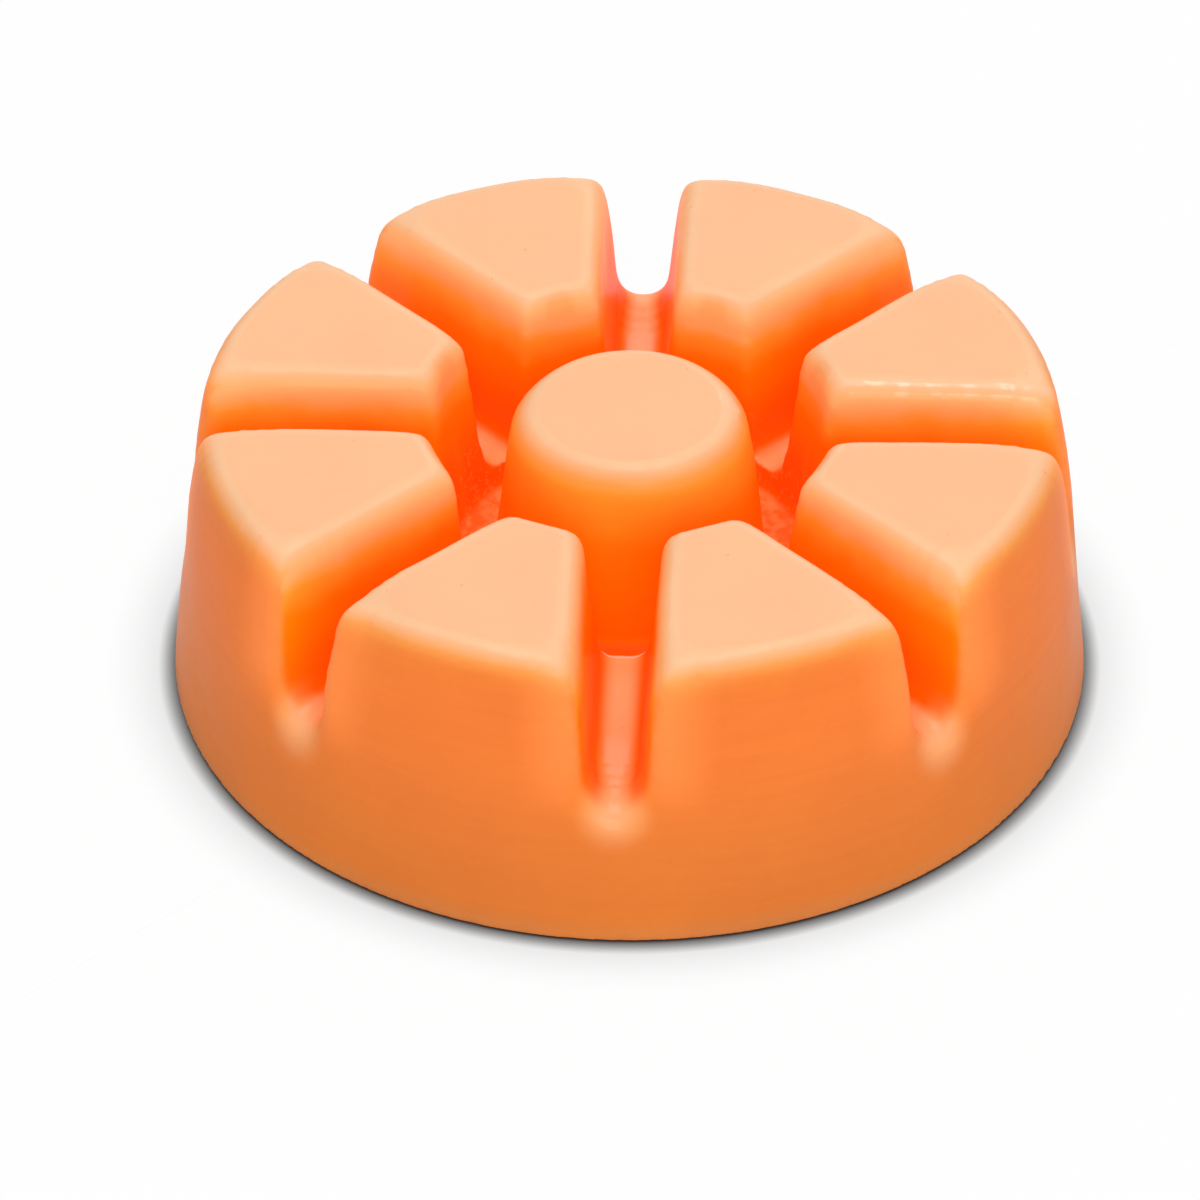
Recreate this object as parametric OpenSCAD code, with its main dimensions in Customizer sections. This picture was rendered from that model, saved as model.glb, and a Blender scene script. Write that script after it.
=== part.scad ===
// Break-apart scented wax melt: one low round pour with eight wedges standing
// around a centre button, made to be snapped along its grooves into nine portions.
// Frame: millimetres, +Z up, origin on the middle of the flat underside.

/* [Whole melt] */
// Width across the foot of the wall
base_diameter = 74; // [60:0.5:90]
// Height from the underside to the wedge tops
melt_height = 24.9; // [21:0.1:32]
// How much narrower the top is than the underside, measured across the melt
wall_taper = 5.6; // [2:0.1:10]
// How far the outer wall swells past a straight taper at mid height
wall_bow = 0.16; // [0:0.02:0.5]
// Radius of the outer top edge of the wedges
top_edge_radius = 2.1; // [0.8:0.1:3]
// Size of the small break at the underside edge
foot_break = 0.35; // [0.1:0.05:1]

/* [Snap grooves] */
// Height of the groove floors above the underside
groove_floor = 11.4; // [9.5:0.1:15]
// Width of a groove between its walls at the floor
groove_width = 3.8; // [3.2:0.1:5]
// Draft of the groove walls, degrees off upright
groove_draft = 5.4; // [2:0.2:8]
// Radius in the bottom corners of a groove
groove_root_radius = 1.25; // [0.4:0.05:1.4]
// Radius where the groove walls turn over onto the wedge tops
groove_lip_radius = 1.9; // [0.8:0.1:2.4]
// Radius where a groove breaks out through the outer wall
breakout_radius = 1.5; // [0.5:0.1:1.8]

/* [Ring channel] */
// Height of the channel floor above the underside
channel_floor = 9.2; // [6:0.1:9.4]
// Outer width of the channel at groove floor height
channel_diameter = 29.8; // [28.5:0.1:34]
// Draft of the channel's outer wall, degrees off upright
channel_draft = 5.6; // [2:0.2:8]
// Radius in the foot corners of the channel
channel_root_radius = 0.8; // [0.3:0.05:1]
// Radius on the upright edges at the wedge tips
tip_edge_radius = 1.25; // [0.5:0.05:1.6]

/* [Centre button] */
// Width of the button at groove floor height
button_diameter = 21.7; // [16:0.1:23]
// Drop from the wedge tops to the button top
button_drop = 0.2; // [0:0.1:3]
// Draft of the button wall, degrees off upright
button_draft = 7; // [2:0.2:10]
// Radius of the button's top edge
button_edge_radius = 2.7; // [1:0.1:4]

/* [Hidden] */

wedge_count = 8;
wedge_angle = 360 / wedge_count;
first_groove_turn = -90;
arc_steps = 5;
bow_steps = 4;
flare_count = 5;
past = 1.5;
$fn = 192;

base_radius = base_diameter / 2;
top_radius = base_radius - wall_taper / 2;
groove_half = groove_width / 2;
button_height = melt_height - button_drop;
button_radius = button_diameter / 2;
channel_radius = channel_diameter / 2;
channel_foot_outer = channel_radius - (groove_floor - channel_floor) * tan(channel_draft);
channel_foot_inner = button_radius + (groove_floor - channel_floor) * tan(button_draft);
snap_radius = (channel_foot_outer + channel_foot_inner) / 2;
channel_root = min(channel_root_radius, 0.45 * (channel_foot_outer - channel_foot_inner));

wax = [1.0, 0.62, 0.38];

// Radius of the outer wall at height z
function wall_radius(z) =
    base_radius + (top_radius - base_radius) * z / melt_height
    + wall_bow * 4 * (z / melt_height) * (1 - z / melt_height);

// Points along an arc about a centre, from one angle to another
function arc(centre, radius, from, to, steps = arc_steps) =
    [for (i = [0:steps]) centre + radius * [cos(from + (to - from) * i / steps),
                                            sin(from + (to - from) * i / steps)]];

// Half width of a groove at height z
function groove_half_at(z) = groove_half + (z - groove_floor) * tan(groove_draft);

// Radius of the channel's outer wall at height z
function channel_radius_at(z) = channel_radius + (z - groove_floor) * tan(channel_draft);

// Radius of the button wall at height z
function button_radius_at(z) = button_radius - (z - groove_floor) * tan(button_draft);

// Section of the wedge ring: outer wall, rounded top, channel wall and channel floor
function ring_section() =
    let (lean_top = atan2(wall_radius(melt_height - top_edge_radius) - top_radius,
                          top_edge_radius),
         outer_centre = [wall_radius(melt_height - top_edge_radius)
                         - top_edge_radius / cos(lean_top),
                         melt_height - top_edge_radius],
         inner_centre = [channel_radius_at(melt_height - groove_lip_radius)
                         + groove_lip_radius / cos(channel_draft),
                         melt_height - groove_lip_radius],
         root_centre = [channel_radius_at(channel_floor + channel_root)
                        - channel_root / cos(channel_draft),
                        channel_floor + channel_root])
    concat(
        [[snap_radius, 0], [base_radius - foot_break, 0]],
        [for (i = [0:bow_steps])
            let (z = foot_break + (melt_height - top_edge_radius - foot_break) * i / (bow_steps + 1))
            [wall_radius(z), z]],
        arc(outer_centre, top_edge_radius, lean_top, 90),
        arc(inner_centre, groove_lip_radius, 90, 180 - channel_draft),
        arc(root_centre, channel_root, -channel_draft, -90),
        [[snap_radius, channel_floor]]);

// Section of the centre button with its share of the base
function button_section() =
    let (edge_centre = [button_radius_at(button_height - button_edge_radius)
                        - button_edge_radius / cos(button_draft),
                        button_height - button_edge_radius],
         root_centre = [button_radius_at(channel_floor + channel_root)
                        + channel_root / cos(button_draft),
                        channel_floor + channel_root])
    concat(
        [[0, 0], [snap_radius, 0], [snap_radius, channel_floor]],
        arc(root_centre, channel_root, 270, 180 + button_draft),
        arc(edge_centre, button_edge_radius, button_draft, 90),
        [[0, button_height]]);

// Right half of a groove's cross section, from the floor to above the tops.
// Each entry holds across, height, and the outward direction used to widen it.
function groove_side() =
    let (root_centre = [groove_half_at(groove_floor + groove_root_radius)
                        - groove_root_radius / cos(groove_draft),
                        groove_floor + groove_root_radius],
         lip_centre = [groove_half_at(melt_height - groove_lip_radius)
                       + groove_lip_radius / cos(groove_draft),
                       melt_height - groove_lip_radius])
    concat(
        [for (i = [0:arc_steps])
            let (a = -90 + (90 - groove_draft) * i / arc_steps)
            [root_centre[0] + groove_root_radius * cos(a),
             root_centre[1] + groove_root_radius * sin(a), cos(a), sin(a)]],
        [for (i = [0:arc_steps])
            let (a = 180 - groove_draft - (90 - groove_draft) * i / arc_steps)
            [lip_centre[0] + groove_lip_radius * cos(a),
             lip_centre[1] + groove_lip_radius * sin(a), -cos(a), -sin(a)]],
        [[lip_centre[0], melt_height + past, 0, 0]]);

// Distance out to the outer wall, and to the channel wall, at a place in a groove
function to_outer_wall(across, z) = sqrt(pow(wall_radius(z), 2) - across * across);
function to_channel_wall(across, z) = sqrt(pow(channel_radius_at(z), 2) - across * across);

// Steps of a rounded end: how far inside the wall, and how much wider the groove is.
// The last step stands just clear of the wall.
function flare_steps(radius) =
    concat([for (i = [0:flare_count - 1])
               let (a = 72 * i / (flare_count - 1))
               [radius * (1 - sin(a)), radius * (1 - cos(a))]],
           [[-0.1 * radius, 1.1 * radius]]);

// One section of the groove cutter. Ring 0 and the last ring are flat end faces.
function groove_ring(place, index, wider, sink) =
    let (side = groove_side(),
         count = len(side),
         half = [for (p = side) [p[0] + wider * p[2], p[1] + wider * sink * p[3]]],
         loop = concat(half, [for (i = [count - 1:-1:0]) [-half[i][0], half[i][1]]]))
    [for (q = loop)
        [place == "tip" ? to_channel_wall(q[0], q[1]) + index
         : place == "wall" ? to_outer_wall(q[0], q[1]) - index
         : index,
         q[0], q[1]]];

// All the sections of a groove cutter, from inside the channel to past the wall
function groove_rings() =
    let (widest = 0.85 * groove_lip_radius,
         tip = flare_steps(min(tip_edge_radius, widest)),
         wall = flare_steps(min(breakout_radius, widest)),
         last = flare_count)
    concat(
        [groove_ring("flat", snap_radius - past, tip[last][1], 0)],
        [for (i = [last:-1:0]) groove_ring("tip", tip[i][0], tip[i][1], 0)],
        [for (i = [0:last]) groove_ring("wall", wall[i][0], wall[i][1], 1)],
        [groove_ring("flat", base_radius + past, wall[last][1], 1)]);

// One snap groove with its rounded ends, pointing along +X
module snap_groove() {
    rings = groove_rings();
    around = len(rings[0]);
    last = len(rings) - 1;
    polyhedron(
        points = [for (ring = rings) for (p = ring) p],
        faces = concat(
            [[for (j = [0:around - 1]) j]],
            [for (i = [0:last - 1]) for (j = [0:around - 1])
                [i * around + j, (i + 1) * around + j, i * around + (j + 1) % around]],
            [for (i = [0:last - 1]) for (j = [0:around - 1])
                [i * around + (j + 1) % around, (i + 1) * around + j,
                 (i + 1) * around + (j + 1) % around]],
            [[for (j = [around - 1:-1:0]) last * around + j]]),
        convexity = 6);
}

// One wedge portion between two groove middles
module wedge_portion(index) {
    rotate([0, 0, first_groove_turn + (index - 1) * wedge_angle])
        color(wax)
            difference() {
                rotate_extrude(angle = wedge_angle)
                    polygon(ring_section());
                snap_groove();
                rotate([0, 0, wedge_angle])
                    snap_groove();
            }
}

// The centre button with the disc of base under it
module centre_button() {
    color(wax)
        rotate_extrude()
            polygon(button_section());
}

wedge_portion(1);  // wedge_1
wedge_portion(2);  // wedge_2
wedge_portion(3);  // wedge_3
wedge_portion(4);  // wedge_4
wedge_portion(5);  // wedge_5
wedge_portion(6);  // wedge_6
wedge_portion(7);  // wedge_7
wedge_portion(8);  // wedge_8
centre_button();
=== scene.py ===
"""A break-apart scented wax melt on a pale studio floor.

One round pour of peach-orange wax: eight tapered wedges stand around a centre
button, parted by eight snap grooves that run out through the wall and into a
deeper ring channel around the button. Metres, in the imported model's frame.
"""

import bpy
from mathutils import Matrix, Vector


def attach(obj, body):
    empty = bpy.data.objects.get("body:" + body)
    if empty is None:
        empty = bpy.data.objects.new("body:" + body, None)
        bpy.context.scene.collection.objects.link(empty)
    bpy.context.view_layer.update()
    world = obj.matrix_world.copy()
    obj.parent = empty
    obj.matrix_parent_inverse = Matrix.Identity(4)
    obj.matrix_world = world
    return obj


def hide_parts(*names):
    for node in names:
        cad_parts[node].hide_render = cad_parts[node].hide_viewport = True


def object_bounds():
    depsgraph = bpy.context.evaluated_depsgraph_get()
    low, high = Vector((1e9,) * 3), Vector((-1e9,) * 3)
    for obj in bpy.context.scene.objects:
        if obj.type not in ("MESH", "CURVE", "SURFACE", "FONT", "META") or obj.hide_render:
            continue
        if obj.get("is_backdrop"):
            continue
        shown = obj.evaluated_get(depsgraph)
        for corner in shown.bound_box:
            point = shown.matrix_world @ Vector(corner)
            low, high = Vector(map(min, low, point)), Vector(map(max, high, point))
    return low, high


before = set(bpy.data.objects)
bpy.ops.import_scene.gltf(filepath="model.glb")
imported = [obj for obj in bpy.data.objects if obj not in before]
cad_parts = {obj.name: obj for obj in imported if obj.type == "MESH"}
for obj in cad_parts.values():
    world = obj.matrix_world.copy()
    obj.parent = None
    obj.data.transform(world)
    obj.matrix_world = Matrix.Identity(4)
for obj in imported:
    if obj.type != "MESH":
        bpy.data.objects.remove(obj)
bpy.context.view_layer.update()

import logging
import math
from contextlib import contextmanager
from dataclasses import dataclass
from enum import Enum
from functools import reduce
from typing import Callable, Iterator

import bmesh
import bpy
from mathutils import Vector

logging.basicConfig(level=logging.INFO, format="%(message)s")
LOG = logging.getLogger("wax_melt")

MM = 0.001
HAIR = 0.001 * MM  # what is this near to a level lies on it
Socket = bpy.types.NodeSocket
Colour = tuple[float, float, float, float]
WHITE: Colour = (1, 1, 1, 1)


# ---------------------------------------------------------------- bench tools


class Hold(Enum):
    """What is taken hold of in edit mode."""

    CORNERS = "VERT"
    EDGES = "EDGE"
    FACES = "FACE"


def put_down_everything() -> None:
    """Leave edit mode and deselect every object."""
    if bpy.context.object and bpy.context.object.mode != "OBJECT":
        bpy.ops.object.mode_set(mode="OBJECT")
    bpy.ops.object.select_all(action="DESELECT")


def pick_up(obj: bpy.types.Object) -> None:
    """Select one object alone and make it the active one."""
    put_down_everything()
    obj.select_set(True)
    bpy.context.view_layer.objects.active = obj


def hold(what: Hold) -> None:
    """Choose what is taken hold of next in edit mode."""
    bpy.ops.mesh.select_mode(type=what.value)


@contextmanager
def on_the_bench(obj: bpy.types.Object, what: Hold) -> Iterator[None]:
    """Keep an object in edit mode, at first with nothing selected.

    Args:
        obj: the mesh object to work on.
        what: what is taken hold of.
    """
    pick_up(obj)
    bpy.ops.object.mode_set(mode="EDIT")
    hold(what)
    bpy.ops.mesh.select_all(action="DESELECT")
    yield
    bpy.ops.object.mode_set(mode="OBJECT")


def take_hold(obj: bpy.types.Object, test: Callable[[Vector], bool]) -> int:
    """Select the vertices, edges or faces that lie wholly where a test says.

    Args:
        obj: the object in edit mode.
        test: says whether a corner at this place belongs.

    Returns:
        How many corners were taken.
    """
    bpy.ops.mesh.select_all(action="DESELECT")
    mesh = bmesh.from_edit_mesh(obj.data)
    mode = bpy.context.tool_settings.mesh_select_mode
    corners = {v for v in mesh.verts if test(v.co)}
    if mode[2]:
        for face in mesh.faces:
            face.select_set(all(v in corners for v in face.verts))
    elif mode[1]:
        for edge in mesh.edges:
            edge.select_set(all(v in corners for v in edge.verts))
    else:
        for vert in corners:
            vert.select_set(True)
    mesh.select_flush_mode()
    bmesh.update_edit_mesh(obj.data)
    return len(corners)


def fit(obj: bpy.types.Object, name: str, kind: str, **settings: object) -> None:
    """Add a modifier with its settings and apply it.

    Args:
        obj: the mesh object.
        name: the modifier's name.
        kind: its type name.
        settings: its properties by name.
    """
    pick_up(obj)
    modifier = obj.modifiers.new(name, kind)
    for key, value in settings.items():
        setattr(modifier, key, value)
    bpy.ops.object.modifier_apply(modifier=modifier.name)


def settle(obj: bpy.types.Object) -> None:
    """Move an object's place, turn and scale into its mesh."""
    pick_up(obj)
    bpy.ops.object.transform_apply(location=True, rotation=True, scale=True)


# ---------------------------------------------------------------- the pour


@dataclass
class PourSizes:
    """Sizes of the whole pour, in metres.

    Drafts are in radians, and the rings of the wall are at shares of its height.
    """

    base_radius: float = 37.0 * MM
    height: float = 24.9 * MM
    wall_lean: float = 2.8 * MM
    wall_bow: float = 0.16 * MM
    top_edge: float = 2.1 * MM
    foot_break: float = 0.35 * MM
    groove_floor: float = 11.4 * MM
    groove_half: float = 1.9 * MM
    groove_draft: float = math.radians(5.4)
    groove_root: float = 1.25 * MM
    groove_lip: float = 1.9 * MM
    channel_floor: float = 9.2 * MM
    channel_radius: float = 14.9 * MM
    channel_draft: float = math.radians(5.6)
    channel_root: float = 0.8 * MM
    button_radius: float = 10.85 * MM
    button_height: float = 24.7 * MM
    button_draft: float = math.radians(7)
    button_edge: float = 2.7 * MM
    sides: int = 256
    wall_rings: tuple[float, ...] = (0.15, 0.3, 0.45, 0.6, 0.75, 0.9)

    def wall_at(self, z: float) -> float:
        """Radius of the outer wall at a height."""
        share = z / self.height
        return (self.base_radius - self.wall_lean * share
                + self.wall_bow * 4 * share * (1 - share))

    def channel_at(self, z: float) -> float:
        """Radius of the channel's outer wall at a height."""
        return self.channel_radius + (z - self.groove_floor) * math.tan(self.channel_draft)

    def button_at(self, z: float) -> float:
        """Radius of the button's wall at a height."""
        return self.button_radius - (z - self.groove_floor) * math.tan(self.button_draft)

    def groove_at(self, z: float) -> float:
        """Half width of a groove at a height."""
        return self.groove_half + (z - self.groove_floor) * math.tan(self.groove_draft)


@dataclass
class SnapBlade:
    """The blade-shaped former that leaves one snap groove."""

    sizes: PourSizes
    lip_steps: int = 6
    root_steps: int = 6
    past_top: float = 1.5 * MM
    past_wall: float = 2.0 * MM
    past_channel: float = 1.0 * MM

    def build(self) -> bpy.types.Object:
        """Shape the blade along +X.

        Returns:
            The blade, pointing along +X from the ring channel past the wall.
        """
        s = self.sizes
        start = s.channel_at(s.groove_floor) - self.past_channel
        end = s.base_radius + self.past_wall
        top = s.height + self.past_top
        put_down_everything()
        bpy.ops.mesh.primitive_cube_add(
            size=1,
            location=((start + end) / 2, 0, (s.groove_floor + top) / 2),
            scale=(end - start, 2 * s.groove_half, top - s.groove_floor))
        blade = bpy.context.object
        settle(blade)
        with on_the_bench(blade, Hold.CORNERS):
            self._open_lips(blade, top)
            self._round_roots(blade)
        return blade

    def _open_lips(self, blade: bpy.types.Object, top: float) -> None:
        """Widen the blade with height, rolling it outwards at the wedge tops.

        Args:
            blade: the blade, in edit mode.
            top: the height of its top.
        """
        s = self.sizes
        lip_z = s.height - s.groove_lip
        lip_y = s.groove_at(lip_z) + s.groove_lip / math.cos(s.groove_draft)
        take_hold(blade, lambda c: c.z > top - HAIR)
        bpy.ops.transform.resize(value=(1, lip_y / s.groove_half, 1))
        lip_turn = math.pi / 2 - s.groove_draft
        for step in range(self.lip_steps + 1):
            turn = math.pi - s.groove_draft - lip_turn * step / self.lip_steps
            z = lip_z + s.groove_lip * math.sin(turn)
            y = lip_y + s.groove_lip * math.cos(turn)
            bpy.ops.mesh.select_all(action="SELECT")
            bpy.ops.mesh.bisect(plane_co=(0, 0, z), plane_no=(0, 0, 1))
            mesh = bmesh.from_edit_mesh(blade.data)
            now = max(v.co.y for v in mesh.verts if v.select)
            bpy.ops.transform.resize(value=(1, y / now, 1))

    def _round_roots(self, blade: bpy.types.Object) -> None:
        """Round the two long edges under the blade.

        Args:
            blade: the blade, in edit mode.
        """
        s = self.sizes
        hold(Hold.EDGES)
        bpy.ops.mesh.select_all(action="DESELECT")
        mesh = bmesh.from_edit_mesh(blade.data)
        for edge in mesh.edges:
            low = all(v.co.z < s.groove_floor + HAIR for v in edge.verts)
            along = abs(edge.verts[0].co.x - edge.verts[1].co.x) > MM
            edge.select_set(low and along)
        bmesh.update_edit_mesh(blade.data)
        reach = s.groove_root * math.tan((math.pi / 2 - s.groove_draft) / 2)
        bpy.ops.mesh.bevel(offset=reach, segments=self.root_steps, profile=0.5, affect="EDGES")


Feather = tuple[tuple[float, int], ...]


@dataclass(frozen=True)
class SoftPlace:
    """A place by the grooves that is relaxed further than the rest, in metres.

    It starts at a height over the groove floor, or at the mouth lies this far either
    way of it. It reaches past the side of the groove and behind the nearest wall. The
    feather lists the margins round it, and how often each is smoothed.
    """

    from_floor: float
    beside_groove: float
    behind_wall: float
    feather: Feather


@dataclass
class WaxPour:
    """The casting: a round pour with a ring channel, a button and eight grooves."""

    sizes: PourSizes
    grooves: int = 8
    skin: float = 0.32 * MM
    skin_turn: float = math.radians(11.3)
    softening: int = 3
    give: float = 0.5
    breakout: SoftPlace = SoftPlace(
        from_floor=-3.0 * MM, beside_groove=2.4 * MM, behind_wall=2.6 * MM,
        feather=((3.8 * MM, 14), (2.4 * MM, 22), (1.0 * MM, 40)))
    mouth: SoftPlace = SoftPlace(
        from_floor=2.6 * MM, beside_groove=1.6 * MM, behind_wall=2.8 * MM,
        feather=((3.8 * MM, 14), (2.4 * MM, 22), (1.0 * MM, 40)))
    tip: SoftPlace = SoftPlace(
        from_floor=2.4 * MM, beside_groove=1.2 * MM, behind_wall=1.2 * MM,
        feather=((1.7 * MM, 6), (0.9 * MM, 8), (0.0, 8)))
    clear_of_button: float = 2.0 * MM
    ring_rise: float = 0.02 * MM
    ring_reach: float = 0.1 * MM
    cut_width: float = 0.1 * HAIR
    weld: float = 0.01 * MM
    crease: float = math.radians(40)
    wave_size: float = 11 * MM
    wave_height: float = 0.35 * MM
    wave_start: float = 6 * MM
    wave_steps: int = 8

    def build(self) -> bpy.types.Object:
        """Turn the pour, cut its grooves and soften every edge.

        Returns:
            The whole casting as one closed mesh.
        """
        pour = self._turn_pour()
        self._cut_grooves(pour)
        self._soften(pour)
        return pour

    def portions(self, pour: bpy.types.Object) -> Iterator[bpy.types.Object]:
        """Part the casting at its snap planes into the button and eight wedges.

        Args:
            pour: the whole casting, which is used up.

        Yields:
            Each closed portion, named after the node it stands for.
        """
        s = self.sizes
        foot_out = s.channel_at(s.channel_floor)
        foot_in = s.button_at(s.channel_floor)
        put_down_everything()
        bpy.ops.mesh.primitive_cylinder_add(
            vertices=s.sides, radius=(foot_out + foot_in) / 2, depth=3 * s.height,
            location=(0, 0, s.height / 2))
        core = bpy.context.object
        settle(core)
        button = self._copy(pour, "button_portion")
        fit(button, "core", "BOOLEAN", operation="INTERSECT", solver="EXACT", object=core)
        fit(pour, "core", "BOOLEAN", operation="DIFFERENCE", solver="EXACT", object=core)
        bpy.data.objects.remove(core, do_unlink=True)
        yield self._finish(button, "centre_button")
        for index in range(self.grooves):
            wedge = self._copy(pour, f"wedge_portion_{index + 1}")
            first = -math.pi / 2 + 2 * math.pi * index / self.grooves
            with on_the_bench(wedge, Hold.FACES):
                self._snap(first, 1)
                self._snap(first + 2 * math.pi / self.grooves, -1)
                self._close_snap_faces()
            yield self._finish(wedge, f"wedge_{index + 1}")
        bpy.data.objects.remove(pour, do_unlink=True)

    def _snap(self, turn: float, side: int) -> None:
        """Cut the held casting through at a groove's middle, and keep one side.

        Args:
            turn: where the groove points, in radians from +X.
            side: 1 to keep what lies counter-clockwise of it, -1 for the other side.
        """
        bpy.ops.mesh.select_all(action="SELECT")
        bpy.ops.mesh.bisect(
            plane_co=(0, 0, 0), plane_no=(-side * math.sin(turn), side * math.cos(turn), 0),
            use_fill=True, clear_inner=True, threshold=self.cut_width)

    def _close_snap_faces(self) -> None:
        """Weld the held wedge's cut edges and split its snap faces into triangles."""
        bpy.ops.mesh.select_all(action="SELECT")
        bpy.ops.mesh.remove_doubles(threshold=self.weld)
        bpy.ops.mesh.select_face_by_sides(number=4, type="GREATER", extend=False)
        bpy.ops.mesh.quads_convert_to_tris(quad_method="BEAUTY", ngon_method="BEAUTY")

    def _copy(self, obj: bpy.types.Object, name: str) -> bpy.types.Object:
        """Copy an object with a mesh of its own.

        Args:
            obj: the object to copy.
            name: the copy's name.

        Returns:
            The copy.
        """
        pick_up(obj)
        bpy.ops.object.duplicate()
        twin = bpy.context.object
        twin.name = twin.data.name = name
        return twin

    def _finish(self, piece: bpy.types.Object, node: str) -> bpy.types.Object:
        """Shade a portion smooth but for its snap faces, tie it to the root body and hide its
        node's part.

        Args:
            piece: the portion.
            node: the node it stands for.

        Returns:
            The portion.
        """
        pick_up(piece)
        bpy.ops.object.shade_smooth_by_angle(angle=self.crease)
        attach(piece, "root")
        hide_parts(node)
        return piece

    def _turn_pour(self) -> bpy.types.Object:
        """Shape the round pour with its channel and button from a cylinder.

        Returns:
            The pour, not yet cut by its grooves.
        """
        s = self.sizes
        put_down_everything()
        bpy.ops.mesh.primitive_cylinder_add(
            vertices=s.sides, radius=s.base_radius, depth=s.height,
            location=(0, 0, s.height / 2), end_fill_type="NGON")
        pour = bpy.context.object
        pour.name = pour.data.name = "wax_pour"
        settle(pour)
        with on_the_bench(pour, Hold.CORNERS):
            take_hold(pour, lambda c: c.z > s.height - HAIR)
            bpy.ops.transform.resize(value=(s.wall_at(s.height) / s.base_radius,) * 2 + (1,))
            for share in s.wall_rings:
                z = s.height * share
                bpy.ops.mesh.select_all(action="SELECT")
                bpy.ops.mesh.bisect(plane_co=(0, 0, z), plane_no=(0, 0, 1))
                straight = s.base_radius - s.wall_lean * share
                bpy.ops.transform.resize(value=(s.wall_at(z) / straight,) * 2 + (1,))
            hold(Hold.FACES)
            self._sink_channel(pour)
            hold(Hold.EDGES)
            self._round_rings(pour)
        return pour

    def _sink_channel(self, pour: bpy.types.Object) -> None:
        """Inset and extrude the top into the ring channel and the button.

        Args:
            pour: the casting, in edit mode, held by its faces.
        """
        s = self.sizes
        lip = s.channel_at(s.height)
        foot_out = s.channel_at(s.channel_floor)
        foot_in = s.button_at(s.channel_floor)
        take_hold(pour, lambda c: c.z > s.height - HAIR)
        bpy.ops.mesh.inset(thickness=s.wall_at(s.height) - lip)
        bpy.ops.mesh.extrude_region_move(
            TRANSFORM_OT_translate={"value": (0, 0, s.channel_floor - s.height)})
        bpy.ops.transform.resize(value=(foot_out / lip, foot_out / lip, 1))
        bpy.ops.mesh.inset(thickness=foot_out - foot_in)
        bpy.ops.mesh.extrude_region_move(
            TRANSFORM_OT_translate={"value": (0, 0, s.button_height - s.channel_floor)})
        crown = s.button_at(s.button_height) / foot_in
        bpy.ops.transform.resize(value=(crown, crown, 1))

    def _round_rings(self, pour: bpy.types.Object) -> None:
        """Round each ring edge: foot, top, channel lip, both channel feet and button.

        Each ring has its height, its radius, the radius it is rounded to, the angle
        it is rounded through and the number of steps in the round.

        Args:
            pour: the casting, in edit mode, held by its edges.
        """
        s = self.sizes
        lean = math.atan(s.wall_lean / s.height)
        rings = (
            (0, s.base_radius, s.foot_break, math.pi / 2, 3),
            (s.height, s.wall_at(s.height), s.top_edge, math.pi / 2 - lean, 8),
            (s.height, s.channel_at(s.height), s.groove_lip, math.pi / 2 - s.channel_draft, 8),
            (s.channel_floor, s.channel_at(s.channel_floor), s.channel_root,
             math.pi / 2 - s.channel_draft, 4),
            (s.channel_floor, s.button_at(s.channel_floor), s.channel_root,
             math.pi / 2 - s.button_draft, 4),
            (s.button_height, s.button_at(s.button_height), s.button_edge,
             math.pi / 2 - s.button_draft, 10),
        )
        for z, ring, radius, turn, steps in rings:
            found = take_hold(pour, lambda c: abs(c.z - z) < self.ring_rise
                              and abs(math.hypot(c.x, c.y) - ring) < self.ring_reach)
            if found != s.sides:
                LOG.warning("ring at %.4f, %.4f took %d corners", z, ring, found)
            bpy.ops.mesh.bevel(offset=radius * math.tan(turn / 2), segments=steps,
                               profile=0.5, affect="EDGES")

    def _cut_grooves(self, pour: bpy.types.Object) -> None:
        """Cut the eight snap grooves with one blade, turned round for each.

        Args:
            pour: the casting.
        """
        blade = SnapBlade(self.sizes).build()
        for turn in range(self.grooves):
            pick_up(blade)
            blade.rotation_euler = (0, 0, 2 * math.pi * turn / self.grooves)
            fit(pour, "snap_groove", "BOOLEAN", operation="DIFFERENCE",
                solver="EXACT", object=blade)
        bpy.data.objects.remove(blade, do_unlink=True)

    def _soften(self, pour: bpy.types.Object) -> None:
        """Grow one even skin over the casting and relax it, as set wax is.

        The skin is grown on the casting turned a little, so that no row of its
        corners lies along a snap plane, where the portions are parted.

        Args:
            pour: the casting.
        """
        pour.rotation_euler = (0, 0, self.skin_turn)
        settle(pour)
        fit(pour, "skin", "REMESH", mode="VOXEL", voxel_size=self.skin, adaptivity=0.0)
        pour.rotation_euler = (0, 0, -self.skin_turn)
        settle(pour)
        fit(pour, "relax", "SMOOTH", factor=self.give, iterations=self.softening)
        with on_the_bench(pour, Hold.CORNERS):
            for is_there, place in ((self._at_breakout, self.breakout),
                                    (self._at_mouth, self.mouth),
                                    (self._at_tip, self.tip)):
                for margin, strokes in place.feather:
                    take_hold(pour, lambda corner: is_there(corner, margin))
                    bpy.ops.mesh.vertices_smooth(factor=self.give, repeat=strokes)
        self._settle_unevenly(pour)
        pick_up(pour)
        bpy.ops.object.shade_smooth()

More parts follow.
